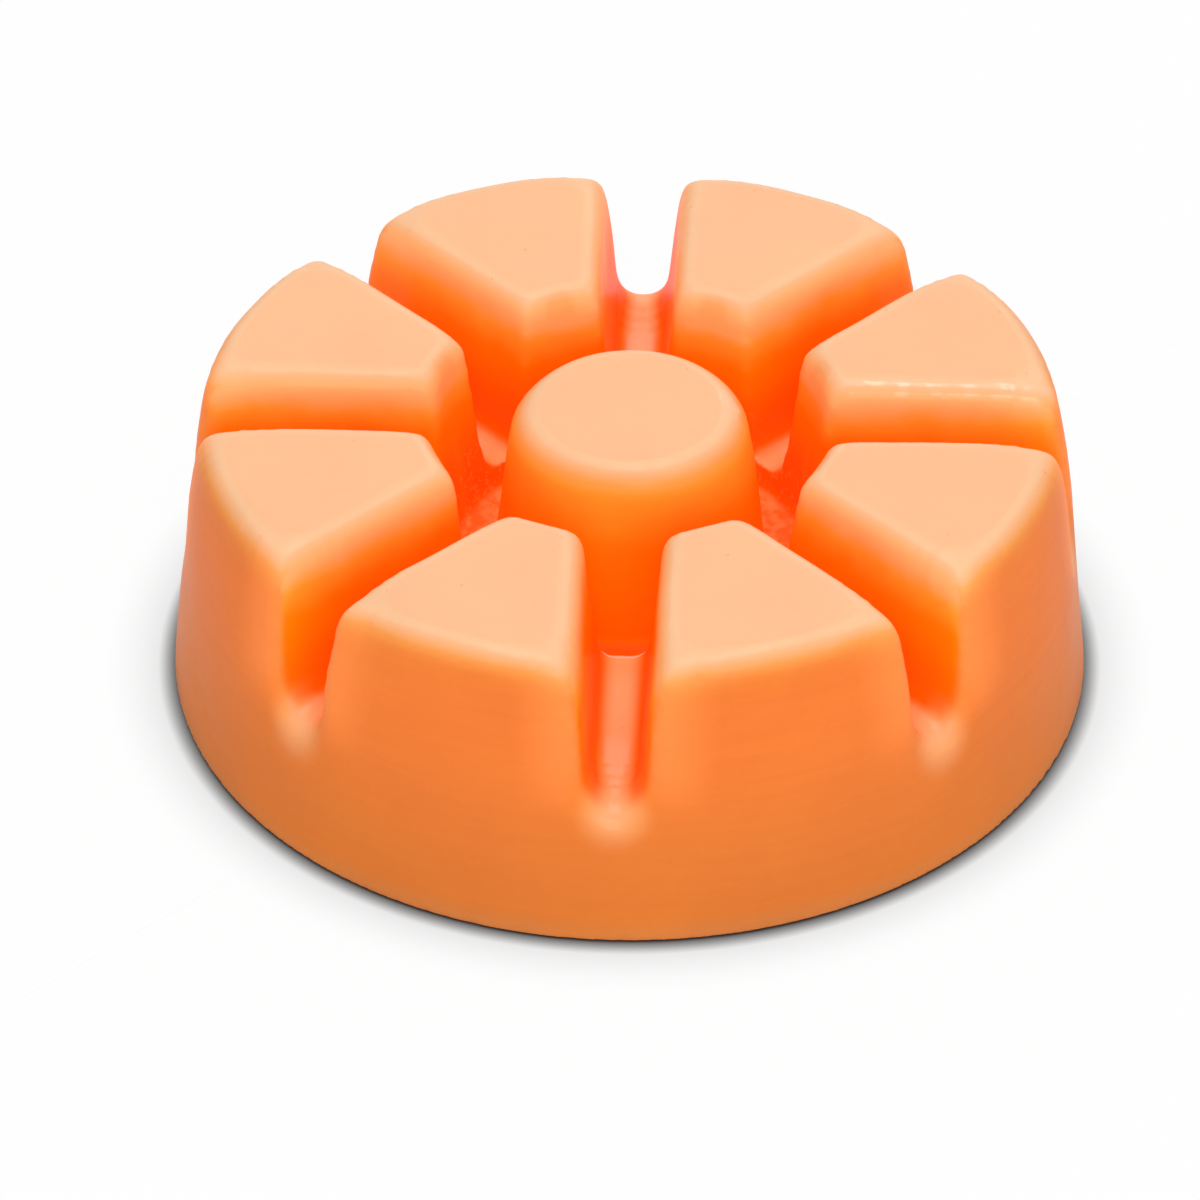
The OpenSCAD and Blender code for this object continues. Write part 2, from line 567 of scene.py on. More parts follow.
    def _settle_unevenly(self, pour: bpy.types.Object) -> None:
        """Let the skin wander a little above the foot, as cooling wax does.

        Args:
            pour: the casting.
        """
        waves = bpy.data.textures.new("cooling_waves", "CLOUDS")
        waves.noise_scale = self.wave_size
        waves.noise_depth = 1
        pick_up(pour)
        pour.vertex_groups.new(name="free_skin")
        with on_the_bench(pour, Hold.CORNERS):
            for step in range(1, self.wave_steps + 1):
                floor = self.wave_start * step / self.wave_steps
                take_hold(pour, lambda corner: corner.z > floor)
                bpy.context.tool_settings.vertex_group_weight = step / self.wave_steps
                bpy.ops.object.vertex_group_assign()
        fit(pour, "waves", "DISPLACE", texture=waves, texture_coords="LOCAL",
            mid_level=0.5, strength=self.wave_height, vertex_group="free_skin")
        pour.vertex_groups.clear()

    def _from_groove(self, corner: Vector) -> tuple[float, float]:
        """Measure a corner from the middle of its nearest groove.

        Args:
            corner: a place on the casting.

        Returns:
            How far out along the groove it lies, and how far across from its middle.
        """
        half = math.pi / self.grooves
        turn = (math.atan2(corner.y, corner.x) + half) % (2 * half) - half
        reach = math.hypot(corner.x, corner.y)
        return reach * math.cos(turn), abs(reach * math.sin(turn))

    def _at_breakout(self, corner: Vector, margin: float) -> bool:
        """Say whether a corner is near where a groove runs out through the wall.

        Args:
            corner: a place on the casting.
            margin: how far past the place still counts, in metres.

        Returns:
            True where it is.
        """
        s, place = self.sizes, self.breakout
        along, across = self._from_groove(corner)
        return (corner.z > s.groove_floor + place.from_floor - margin
                and across < s.groove_at(corner.z) + place.beside_groove + margin
                and along > s.wall_at(corner.z) - place.behind_wall - margin)

    def _at_mouth(self, corner: Vector, margin: float) -> bool:
        """Say whether a corner is at the foot of a groove's mouth.

        Args:
            corner: a place on the casting.
            margin: how far past the place still counts, in metres.

        Returns:
            True where it is.
        """
        s, place = self.sizes, self.mouth
        along, across = self._from_groove(corner)
        return (abs(corner.z - s.groove_floor) < place.from_floor + margin
                and across < s.groove_half + place.beside_groove + margin
                and along > s.wall_at(corner.z) - place.behind_wall - margin)

    def _at_tip(self, corner: Vector, margin: float) -> bool:
        """Say whether a corner is on an upright edge where a groove meets the channel.

        Args:
            corner: a place on the casting.
            margin: how far past the place still counts, in metres.

        Returns:
            True where it is.
        """
        s, place = self.sizes, self.tip
        along, across = self._from_groove(corner)
        return (corner.z > s.groove_floor + place.from_floor - margin / 2
                and across < s.groove_at(corner.z) + place.beside_groove + margin
                and along < s.channel_at(corner.z) + place.behind_wall + margin
                and along > s.button_at(corner.z) + self.clear_of_button)


# ---------------------------------------------------------------- finishes


@dataclass(frozen=True)
class Fade:
    """A stretch over which an effect grows from nothing to its share."""

    start: float
    end: float
    share: float = 1.0


@dataclass(frozen=True)
class Noise:
    """A cloudy noise: how many swings a millimetre it has, and how fine they get."""

    scale: float
    detail: float
    roughness: float
    distortion: float = 0.0


class Sheet:
    """A node tree being laid out, with short ways to add and join nodes."""

    def __init__(self, tree: bpy.types.NodeTree) -> None:
        """Start on a tree."""
        self.tree = tree

    def add(self, kind: str, settings: dict[str, object] | None = None,
            **inputs: object) -> bpy.types.Node:
        """Add a node, set its properties and fill or link its inputs.

        Args:
            kind: the node's type name.
            settings: properties to set on the node.
            inputs: values or sockets by input name, or by i0, i1 and so on.

        Returns:
            The new node.
        """
        node = self.tree.nodes.new(kind)
        for key, value in (settings or {}).items():
            setattr(node, key, value)
        for key, value in inputs.items():
            number = key[1:] if key[0] == "i" and key[1:].isdigit() else ""
            socket = node.inputs[int(number)] if number else node.inputs[key.replace("_", " ")]
            if isinstance(value, Socket):
                self.tree.links.new(value, socket)
            else:
                socket.default_value = value
        return node

    def maths(self, what: str, *values: object) -> Socket:
        """Add a Math node and return its result."""
        numbered = {f"i{n}": value for n, value in enumerate(values)}
        return self.add("ShaderNodeMath", {"operation": what}, **numbered).outputs[0]

    def times(self, *values: object) -> Socket:
        """Multiply values together."""
        return reduce(lambda one, other: self.maths("MULTIPLY", one, other), values)

    def plus(self, *values: object) -> Socket:
        """Add values up."""
        return reduce(lambda one, other: self.maths("ADD", one, other), values)

    def minus(self, one: object, other: object) -> Socket:
        """Take the second value from the first."""
        return self.maths("SUBTRACT", one, other)

    def most(self, *values: object) -> Socket:
        """Take the greatest of the values."""
        return reduce(lambda one, other: self.maths("MAXIMUM", one, other), values)

    def gap(self, one: object, other: object) -> Socket:
        """Say how far apart two values are."""
        return self.maths("ABSOLUTE", self.minus(one, other))

    def length(self, one: object, other: object) -> Socket:
        """Say how long a line is from its two parts at a right angle."""
        return self.maths("SQRT", self.plus(self.times(one, one), self.times(other, other)))

    def swing(self, noise: object, amount: float) -> Socket:
        """Turn a noise between 0 and 1 into a swing about nothing."""
        return self.times(self.minus(noise, 0.5), amount)

    def ramp(self, value: object, low: object, high: object) -> Socket:
        """Ease from 0 at low to 1 at high."""
        node = self.add("ShaderNodeMapRange", {"interpolation_type": "SMOOTHSTEP"},
                        i0=value, i1=low, i2=high, i3=0.0, i4=1.0)
        return node.outputs[0]

    def fade(self, value: object, fade: Fade, origin: float = 0.0) -> Socket:
        """Ease a value in over a fade's stretch, measured from an origin."""
        eased = self.ramp(value, origin + fade.start, origin + fade.end)
        return eased if fade.share == 1 else self.times(eased, fade.share)

    def noise(self, point: Socket, noise: Noise) -> Socket:
        """Add a cloudy noise and return its value."""
        node = self.add("ShaderNodeTexNoise", Vector=point, Scale=noise.scale,
                        Detail=noise.detail, Roughness=noise.roughness,
                        Distortion=noise.distortion)
        return node.outputs[0]

    def mix(self, share: object, one: object, other: object) -> Socket:
        """Mix two colours."""
        node = self.add("ShaderNodeMix", {"data_type": "RGBA"}, i0=share, i6=one, i7=other)
        return node.outputs[2]

    def seen_plainly(self) -> Socket:
        """Say where the eye, a gloss or a clear thing looks at a surface."""
        path = self.add("ShaderNodeLightPath").outputs
        return self.most(path["Is Camera Ray"], path["Is Glossy Ray"],
                         path["Is Transmission Ray"])


@dataclass(frozen=True)
class WaxColours:
    """The colours of the wax, with light and shade painted in: paler lit tops, painted
    highlights, painted glowing edges and redder painted shade lower down.
    """

    # the wax's own peach, made paler by painted light where the tops face up
    crown: Colour = (1.0, 0.532, 0.286, 1)
    # a painted highlight along the roll of each top edge
    rim_highlight: Colour = (1.0, 0.575, 0.318, 1)
    # painted light: the half-lit orange where a top edge rolls down into a side
    half_lit_edge: Colour = (1.0, 0.37, 0.090, 1)
    # a painted glow just under the top edges, standing in for light through the wax
    painted_edge_glow: Colour = (1.0, 0.37, 0.035, 1)
    # painted light on the rolled edges of the wedge tips and cheeks, and on the outer corners by
    # the grooves
    lit_edge: Colour = (1.0, 0.51, 0.21, 1)
    lit_corner: Colour = (1.0, 0.285, 0.070, 1)
    # a painted glow round the foot of each groove's mouth
    mouth_painted_glow: Colour = (1.0, 0.43, 0.19, 1)
    speck: Colour = (0.80, 0.24, 0.07, 1)
    wall_high: Colour = (0.97, 0.226, 0.040, 1)
    wall_low: Colour = (0.78, 0.212, 0.037, 1)
    # painted bounce light from the floor along the foot of the wall
    foot: Colour = (0.70, 0.235, 0.060, 1)
    # painted shade: the walls redder orange the lower they stand in the grooves and channel
    shade_shallow: Colour = (1.0, 0.39, 0.036, 1)
    shade_deep: Colour = (1.0, 0.235, 0.001, 1)
    shade_deepest: Colour = (1.0, 0.15, 0.001, 1)
    no_glow: Colour = (0.0, 0.0, 0.0, 1)
    # a painted glow, given out as emission on the groove walls and outer corners
    glow: Colour = (0.14, 0.018, 0.0, 1)
    # the beds' peach made paler and pinker by painted light and a painted reflection of the white
    # room
    lit_groove_bed: Colour = (1.0, 0.44, 0.175, 1)
    lit_inner_bed: Colour = (1.0, 0.60, 0.27, 1)
    channel_bed: Colour = (1.0, 0.37, 0.095, 1)
    # a painted highlight along the front groove's sill
    sill_highlight: Colour = (1.0, 0.72, 0.50, 1)
    # a redder mottle on the channel bed, and painted shade towards the front
    channel_mottle_and_shade: Colour = (0.94, 0.16, 0.002, 1)


@dataclass(frozen=True)
class WaxZones:
    """Where the kinds of place on the melt begin and end, in millimetres.

    Fades named across run over the distance from the middle of the nearest groove,
    inwards from the outer wall into the wax, reach from the melt's axis, or for the
    channel from its wall, rise from the groove floor, and round from the middle of a
    mouth. Facing and looking fades run over the part of the normal that points that way.
    """

    level_noise: Noise = Noise(0.22, 2.0, 0.6)
    level_swing: float = 1.8
    button_reach: Fade = Fade(12.6, 11.4, 1.6)
    beyond_reach: Fade = Fade(12.6, 14.2)
    channel_reach: Fade = Fade(2.4, 0.6)
    groove_across: Fade = Fade(6.5, 4.6)
    groove_inwards: Fade = Fade(-0.2, 1.8)
    cheek_looking: Fade = Fade(0.60, 0.97)
    cheek_across: Fade = Fade(8.0, 6.0)
    corner_across: Fade = Fade(8.5, 3.6)
    corner_looking: Fade = Fade(0.08, 0.75)
    corner_rise: Fade = Fade(-1.0, 5.0)
    corner_inwards: Fade = Fade(6.0, 3.5)
    mouth_inwards: Fade = Fade(4.0, 0.8)
    mouth_round: Fade = Fade(3.6, 0.2)
    up_facing: Fade = Fade(0.25, 0.98)
    rising_facing: Fade = Fade(0.10, 0.72)
    flat_facing: Fade = Fade(0.50, 0.98)


@dataclass(frozen=True)
class WaxDepths:
    """Where colours, painted shade and painted glow change on the way down, in millimetres.

    Fades run over the height: those named below from the top down, those named over
    from the groove floor up, and the others from the foot of the melt. The spread is
    how much sooner the full painted shade comes on the wedges than on the button.
    """

    wall: Fade = Fade(1.0, 19.0)
    # where the painted bounce light at the foot fades out
    foot: Fade = Fade(2.6, 0.2)
    well_below: float = -0.8
    well_over: float = 2.5
    # where the painted shade grows, from the top down and over the groove floor
    shallow_below: Fade = Fade(-0.4, -3.2)
    deep_below: Fade = Fade(-2.6, -9.5)
    deep_spread: float = 3.3
    deepest_over: Fade = Fade(7.4, 1.8)
    channel_over: Fade = Fade(-0.2, -1.0)
    froth: Fade = Fade(18.5, 12.0)
    # where the painted glow under the top edges fades in, on tips, cheeks and elsewhere
    tip_glow_below: Fade = Fade(-6.3, -3.2, 0.7)
    cheek_glow_below: Fade = Fade(-5.2, -1.8, 0.5)
    glow_below: Fade = Fade(-4.0, -1.0, 0.12)
    # where painted light pales the band just under the tip and cheek edges
    tip_pale_below: Fade = Fade(-4.1, -2.3, 0.9)
    cheek_pale_below: Fade = Fade(-3.8, -1.6, 0.85)


class WaxMap:
    """Measures and masks of each spot on the melt, with lengths in millimetres."""

    def __init__(self, sheet: Sheet, sizes: PourSizes, zones: WaxZones,
                 depths: WaxDepths) -> None:
        """Measure every spot from its own coordinates and normal.

        Args:
            sheet: the material's nodes.
            sizes: the sizes of the pour.
            zones: where the kinds of place begin and end.
            depths: where colours change on the way down.
        """
        self.sheet = sheet
        self.sizes = sizes
        self.zones = zones
        self.depths = depths
        self.top = sizes.height / MM
        self.floor = sizes.groove_floor / MM
        self._measure_place()
        self._measure_facing()
        self._find_grooves()
        self._find_corners()
        self._find_levels()
        self._find_edges()

    def _measure_place(self) -> None:
        """Measure height, reach from the axis and distance from the nearest groove."""
        sheet, s = self.sheet, self.sizes
        place = sheet.add("ShaderNodeTexCoord").outputs["Object"]
        scaled = sheet.add("ShaderNodeVectorMath", {"operation": "SCALE"}, i0=place, Scale=1 / MM)
        self.point = scaled.outputs[0]
        x, y, self.z = sheet.add("ShaderNodeSeparateXYZ", i0=self.point).outputs
        self.reach = sheet.length(x, y)
        self.turn = sheet.maths("ARCTAN2", y, x)
        eighth = math.pi / 8
        near = sheet.maths("WRAP", self.turn, -eighth, eighth)
        self.groove_turn = sheet.minus(self.turn, near)
        self.across = sheet.maths("ABSOLUTE", sheet.times(sheet.maths("SINE", near), self.reach))
        wall = sheet.maths("MULTIPLY_ADD", self.z, -s.wall_lean / s.height, s.base_radius / MM)
        self.inwards = sheet.minus(wall, self.reach)

    def _measure_facing(self) -> None:
        """Measure how far each spot faces up, across its groove and away from the axis."""
        sheet, zones = self.sheet, self.zones
        normal = sheet.add("ShaderNodeNewGeometry").outputs["Normal"]
        looks_x, looks_y, self.facing = sheet.add("ShaderNodeSeparateXYZ", i0=normal).outputs
        self.sideways = sheet.gap(
            sheet.times(looks_y, sheet.maths("COSINE", self.groove_turn)),
            sheet.times(looks_x, sheet.maths("SINE", self.groove_turn)))
        self.outward = sheet.plus(
            sheet.times(looks_x, sheet.maths("COSINE", self.turn)),
            sheet.times(looks_y, sheet.maths("SINE", self.turn)))
        self.up = sheet.fade(self.facing, zones.up_facing)
        self.rising = sheet.fade(self.facing, zones.rising_facing)
        self.flat = sheet.fade(self.facing, zones.flat_facing)
        self.side = sheet.minus(1.0, self.up)

    def _find_grooves(self) -> None:
        """Find the grooves, their cheeks, the channel and the sides of the wedge tips."""
        sheet, zones = self.sheet, self.zones
        self.cheek = sheet.times(sheet.fade(self.sideways, zones.cheek_looking),
                                 sheet.fade(self.across, zones.cheek_across))
        groove = sheet.times(sheet.fade(self.across, zones.groove_across),
                             sheet.fade(self.inwards, zones.groove_inwards))
        self.in_groove = sheet.most(groove, self.cheek)
        in_channel = sheet.fade(self.reach, zones.channel_reach, self.sizes.channel_radius / MM)
        self.inside = sheet.most(self.in_groove, in_channel)
        self.beyond = sheet.fade(self.reach, zones.beyond_reach)
        self.on_tip = sheet.times(in_channel, self.beyond)
        self.on_cheek = sheet.times(self.in_groove, self.beyond)

    def _find_corners(self) -> None:
        """Find the outer corners beside the grooves, and the grooves' mouths."""
        sheet, zones = self.sheet, self.zones
        self.corner = sheet.times(sheet.fade(self.across, zones.corner_across),
                                  sheet.fade(self.outward, zones.corner_looking),
                                  sheet.fade(self.z, zones.corner_rise, self.floor),
                                  sheet.fade(self.inwards, zones.corner_inwards))
        from_mouth = sheet.length(self.across, sheet.minus(self.z, self.floor))
        self.mouth = sheet.times(sheet.fade(self.inwards, zones.mouth_inwards),
                                 sheet.fade(from_mouth, zones.mouth_round))

    def _find_levels(self) -> None:
        """Find how low each spot lies for the painted shade and the beds, wavering a little, and
        lower on the button.
        """
        sheet, zones, depths = self.sheet, self.zones, self.depths
        waver = sheet.swing(sheet.noise(self.point, zones.level_noise), zones.level_swing)
        self.level = sheet.minus(sheet.plus(self.z, waver),
                                 sheet.fade(self.reach, zones.button_reach))
        self.depth = sheet.ramp(self.z, self.top + depths.well_below,
                                self.floor + depths.well_over)
        self.shade_shallow = sheet.fade(self.level, depths.shallow_below, self.top)
        deep_end = sheet.maths("MULTIPLY_ADD", self.beyond, depths.deep_spread,
                               self.top + depths.deep_below.end)
        self.shade_deeper = sheet.ramp(self.level, self.top + depths.deep_below.start, deep_end)
        self.shade_deepest = sheet.fade(self.z, depths.deepest_over, self.floor)

    def _find_edges(self) -> None:
        """Find where glow is painted just under the top edges, and the palest painted light under
        the edges of the tips and cheeks.
        """
        sheet, depths = self.sheet, self.depths
        self.painted_glow_under_edge = sheet.most(
            sheet.times(self.on_tip, sheet.fade(self.level, depths.tip_glow_below, self.top)),
            sheet.times(self.on_cheek, sheet.fade(self.level, depths.cheek_glow_below, self.top)),
            sheet.fade(self.level, depths.glow_below, self.top))
        self.painted_pale_edge = sheet.most(
            sheet.times(self.on_tip, sheet.fade(self.level, depths.tip_pale_below, self.top)),
            sheet.times(self.on_cheek, sheet.fade(self.level, depths.cheek_pale_below, self.top)))


@dataclass(frozen=True)
class WaxFinish:
    """Peach-orange scented wax: satin, faintly clouded, with light and shade painted into its
    colour.

    Light and shade are painted into its colour: palest where light falls on the tops, a
    painted glow just under each edge, and painted shade redder down the grooves and channel.
    Angles are in radians from +X, and the front groove points along -Y.
    """

    sizes: PourSizes
    colours: WaxColours = WaxColours()
    zones: WaxZones = WaxZones()
    depths: WaxDepths = WaxDepths()
    slot: str = "wax"
    roughness: float = 0.40
    roughness_swing: float = 0.16
    # how much painted light the outer corners beside the grooves get
    corner_share: float = 0.8
    # how much of the painted light on rolled edges takes the paler tip colour
    rolling_share: float = 0.85
    # how much of the painted glow the mouths take
    mouth_share: float = 0.65
    # where the painted highlight band along the top edges begins and ends, by facing
    rolled_in: Fade = Fade(0.78, 0.93)
    rolled_out: Fade = Fade(0.998, 0.965)
    # where painted light pales the bed towards its inner end
    inner_bed_reach: Fade = Fade(29.0, 20.0)
    channel_end_reach: Fade = Fade(19.5, 16.0, 0.45)
    # the beds turn to the painted shade colour towards their walls
    bed_across: Fade = Fade(2.1, 0.3)
    front: float = -math.pi / 2
    # the channel bed's redder mottle, and painted shade towards the front
    mottle_noise: Noise = Noise(0.9, 4.0, 0.7)
    mottle_drift: float = 0.018
    mottle: Fade = Fade(0.50, 0.66)
    front_shade: Fade = Fade(0.55, 0.3, 1.4)
    mottle_and_shade_share: float = 0.7
    froth_noise: Noise = Noise(2.3, 3.0, 0.7)
    froth: Fade = Fade(0.52, 0.66)
    froth_share: float = 0.55
    # where the painted highlight lies on the front groove's sill
    sill_reach: float = 15.35
    sill_front: Fade = Fade(0.25, 0.2)
    sill_across: Fade = Fade(2.1, 1.7)
    sill_width: Fade = Fade(0.20, 0.08)
    speck_scale: float = 0.33
    speck_size: Fade = Fade(0.055, 0.025, 0.4)
    cloud_noise: Noise = Noise(0.11, 3.0, 0.55)
    grain_noise: Noise = Noise(1.7, 3.0, 0.6)
    flow_noise: Noise = Noise(1.5, 4.0, 0.65, 0.4)
    flow_stretch: tuple[float, float, float] = (0.05, 0.05, 1.0)
    cloud_tone: float = 0.10
    grain_tone: float = 0.035
    flow_tone: float = 0.07
    tone_to_hue: float = 0.03
    grain_height: float = 0.006 * MM
    cloud_height: float = 0.12 * MM
    flow_height: float = 0.012 * MM
    streak_noise: Noise = Noise(0.62, 2.0, 0.6)
    streaks: Fade = Fade(0.40, 0.62)
    lip_in: Fade = Fade(0.35, 0.75)
    lip_out: Fade = Fade(0.995, 0.93)
    polish_across: Fade = Fade(7.0, 5.4)
    polish_turn: float = 0.14
    polish_reach: Fade = Fade(0.24, 0.12)
    bed_facing: Fade = Fade(0.6, 0.95)
    bed_over: Fade = Fade(-0.4, -0.1)
    lip_coat: float = 0.10
    polish_coat: float = 0.50
    streak_coat: float = 0.75
    unstreaked_coat: float = 0.25
    bed_coat: float = 0.14
    cheek_coat: float = 0.06
    mouth_coat: float = 0.12
    coat_roughness: float = 0.12
    coat_ior: float = 2.0
    ior: float = 1.44
    specular: float = 0.06

    def make(self) -> bpy.types.Material:
        """Build the wax.

        Returns:
            The material.
        """
        material = bpy.data.materials.new(self.slot)
        material.use_nodes = True
        material.node_tree.nodes.clear()
        sheet = Sheet(material.node_tree)
        spot = WaxMap(sheet, self.sizes, self.zones, self.depths)
        cloud = sheet.noise(spot.point, self.cloud_noise)
        grain = sheet.noise(spot.point, self.grain_noise)
        flat = sheet.add("ShaderNodeVectorMath", {"operation": "MULTIPLY"},
                         i0=spot.point, i1=self.flow_stretch)
        flow = sheet.noise(flat.outputs[0], self.flow_noise)
        wander = sheet.swing(cloud, self.roughness_swing)
        wax = sheet.add("ShaderNodeBsdfPrincipled",
                        Base_Color=self._clouded(sheet, spot, cloud, grain, flow),
                        Roughness=sheet.plus(wander, self.roughness),
                        Coat_Weight=self._gloss(sheet, spot),
                        Emission_Color=self._painted_glow(sheet, spot),
                        Normal=self._surface(sheet, spot, cloud, grain, flow))
        wax.inputs["Emission Strength"].default_value = 1.0
        wax.inputs["IOR"].default_value = self.ior
        wax.inputs["Specular IOR Level"].default_value = self.specular
        wax.inputs["Coat Roughness"].default_value = self.coat_roughness
        wax.inputs["Coat IOR"].default_value = self.coat_ior
        sheet.add("ShaderNodeOutputMaterial", Surface=wax.outputs[0])
        return material

    def _colour(self, sheet: Sheet, spot: WaxMap) -> Socket:
        """Lay the wax colour out by height and groove, with light and shade painted in by which
        way the face looks.

        Args:
            sheet: the material's nodes.
            spot: the measures and masks of each spot.

        Returns:
            The colour of each spot, before it is clouded.
        """
        colours = self.colours
        well = sheet.times(spot.inside, spot.depth)
        side = self._side_colour(sheet, spot)
        # painted highlight band where each top starts to roll over
        rolled = sheet.times(sheet.fade(spot.facing, self.rolled_in),
                             sheet.fade(spot.facing, self.rolled_out))
        lit_top = sheet.mix(rolled, colours.crown, colours.rim_highlight)
        top = sheet.mix(well, lit_top, self._bed_colour(sheet, spot))
        # painted light on the rolling edges, paler on the wedge tips and cheeks
        in_wedge = sheet.times(sheet.most(spot.on_tip, spot.on_cheek), self.rolling_share)
        rolling = sheet.mix(in_wedge, colours.half_lit_edge, colours.lit_edge)
        # which way a face looks picks the colour: painted light on what faces up, painted shade
        # on what stands
        rising = sheet.mix(spot.rising, side, sheet.mix(well, rolling, side))
        colour = sheet.mix(spot.flat, rising, top)
        # painted glow at each groove's mouth
        colour = sheet.mix(sheet.times(spot.mouth, self.mouth_share), colour, colours.mouth_painted_glow)
        speck = sheet.add("ShaderNodeTexVoronoi", Vector=spot.point, Scale=self.speck_scale)
        return sheet.mix(sheet.fade(speck.outputs[0], self.speck_size), colour, colours.speck)

    def _side_colour(self, sheet: Sheet, spot: WaxMap) -> Socket:
        """Colour the outer wall and the sides of the grooves, channel and button, with painted
        shade lower down and painted light on edges, corners and the foot.

        Args:
            sheet: the material's nodes.
            spot: the measures and masks of each spot.

        Returns:
            The colour of what stands upright.
        """
        colours, depths = self.colours, self.depths
        side = sheet.mix(sheet.fade(spot.z, depths.wall), colours.wall_low, colours.wall_high)
        # painted bounce light along the foot
        side = sheet.mix(sheet.fade(spot.z, depths.foot), side, colours.foot)
        froth = sheet.fade(sheet.noise(spot.point, self.froth_noise), self.froth)
        frothy = sheet.times(froth, spot.on_tip, sheet.fade(spot.z, depths.froth))
        # painted shade down the grooves and channel, painted light on corners and edges; the
        # froth is the wax's own
        for share, colour in (
                (sheet.times(spot.inside, spot.shade_shallow), colours.shade_shallow),
                (sheet.times(spot.inside, spot.shade_deeper), colours.shade_deep),
                (sheet.times(spot.on_cheek, spot.shade_deepest), colours.shade_deepest),
                (sheet.times(spot.corner, self.corner_share), colours.lit_corner),
                (spot.painted_glow_under_edge, colours.painted_edge_glow),
                (spot.painted_pale_edge, colours.lit_edge),
                (sheet.times(frothy, self.froth_share), colours.channel_bed)):
            side = sheet.mix(share, side, colour)
        return side

    def _bed_colour(self, sheet: Sheet, spot: WaxMap) -> Socket:
        """Colour the beds of the grooves and the channel, with painted light and shade, and a
        painted highlight on the front groove's sill.

        Args:
            sheet: the material's nodes.
            spot: the measures and masks of each spot.

        Returns:
            The colour of what lies flat below the tops.
        """
        colours = self.colours
        # painted light: the beds paler and pinker, most at their inner ends
        bed = sheet.mix(sheet.fade(spot.reach, self.inner_bed_reach),
                        colours.lit_groove_bed, colours.lit_inner_bed)
        bed = sheet.mix(sheet.fade(spot.reach, self.channel_end_reach), bed, colours.channel_bed)
        # painted shade: the beds redder towards their walls
        bed = sheet.mix(sheet.fade(spot.across, self.bed_across), colours.shade_deep, bed)
        # a redder mottle on the channel bed, and painted shade towards the front
        from_front = sheet.gap(spot.turn, self.front)
        mottle = sheet.plus(sheet.noise(spot.point, self.mottle_noise),
                           sheet.times(spot.across, self.mottle_drift))
        mottle_and_shade = sheet.most(sheet.fade(mottle, self.mottle),
                             sheet.fade(from_front, self.front_shade))
        channel_bed = sheet.mix(sheet.times(mottle_and_shade, self.mottle_and_shade_share),
                                colours.channel_bed, colours.channel_mottle_and_shade)
        low = sheet.fade(spot.z, self.depths.channel_over, spot.floor)
        bed = sheet.mix(low, bed, channel_bed)
        # painted highlight on the front groove's sill
        sill = sheet.times(sheet.fade(from_front, self.sill_front),
                           sheet.fade(spot.across, self.sill_across),
                           sheet.fade(sheet.gap(spot.reach, self.sill_reach), self.sill_width))
        return sheet.mix(sill, bed, colours.sill_highlight)

    def _clouded(self, sheet: Sheet, spot: WaxMap, cloud: Socket, grain: Socket,
                 flow: Socket) -> Socket:
        """Cloud the wax colour and draw the faint flow lines of its pouring.

        Args:
            sheet: the material's nodes.
            spot: the measures and masks of each spot.
            cloud: the slow noise.
            grain: the fine noise.
            flow: the noise drawn out level.

        Returns:
            The finished colour.
        """
        shade = sheet.plus(sheet.swing(cloud, self.cloud_tone),
                           sheet.swing(grain, self.grain_tone),
                           sheet.times(sheet.swing(flow, self.flow_tone), spot.side))
        tone = sheet.add("ShaderNodeHueSaturation", Color=self._colour(sheet, spot),
                         Value=sheet.plus(shade, 1.0),
                         Hue=sheet.plus(sheet.times(shade, self.tone_to_hue), 0.5))
        return tone.outputs[0]

    def _painted_glow(self, sheet: Sheet, spot: WaxMap) -> Socket:
        """Paint a faint orange emission on the groove walls and outer corners: a painted glow for
        light through the wax.
        """
        shut_in = sheet.times(spot.inside, spot.side)
        return sheet.mix(sheet.most(shut_in, spot.corner), self.colours.no_glow,
                         self.colours.glow)

    def _gloss(self, sheet: Sheet, spot: WaxMap) -> Socket:
        """Find where the mould left the wax glossy: rolled lips, cheeks, beds and mouths.

        Args:
            sheet: the material's nodes.
            spot: the measures and masks of each spot.

        Returns:
            The share of the coat.
        """
        polish = sheet.times(
            sheet.fade(spot.across, self.polish_across),
            sheet.fade(sheet.gap(spot.turn, self.polish_turn), self.polish_reach))
        shine = sheet.maths("MULTIPLY_ADD", polish, self.polish_coat, self.lip_coat)
        streaks = sheet.fade(sheet.noise(spot.point, self.streak_noise), self.streaks)
        broken = sheet.maths("MULTIPLY_ADD", streaks, self.streak_coat, self.unstreaked_coat)
        lip = sheet.times(sheet.fade(spot.facing, self.lip_in),
                          sheet.fade(spot.facing, self.lip_out), sheet.minus(1.0, spot.depth),
                          shine, broken)
        bed = sheet.times(spot.in_groove, sheet.fade(spot.facing, self.bed_facing), spot.depth,
                          self.bed_coat, sheet.fade(spot.z, self.bed_over, spot.floor))
        return sheet.most(lip, bed, sheet.times(spot.cheek, self.cheek_coat),
                          sheet.times(spot.mouth, self.mouth_coat))

    def _surface(self, sheet: Sheet, spot: WaxMap, cloud: Socket, grain: Socket,
                 flow: Socket) -> Socket:
        """Raise the fine skin of the wax: flow lines, grain and soft waves.

        Args:
            sheet: the material's nodes.
            spot: the measures and masks of each spot.
            cloud: the slow noise.
            grain: the fine noise.
            flow: the noise drawn out level.

        Returns:
            The normal.
        """
        height = sheet.plus(sheet.times(grain, self.grain_height),
                            sheet.times(cloud, self.cloud_height),
                            sheet.times(flow, spot.side, self.flow_height))
        bump = sheet.add("ShaderNodeBump", Height=height, Distance=1.0, Strength=1.0)
        return bump.outputs[0]


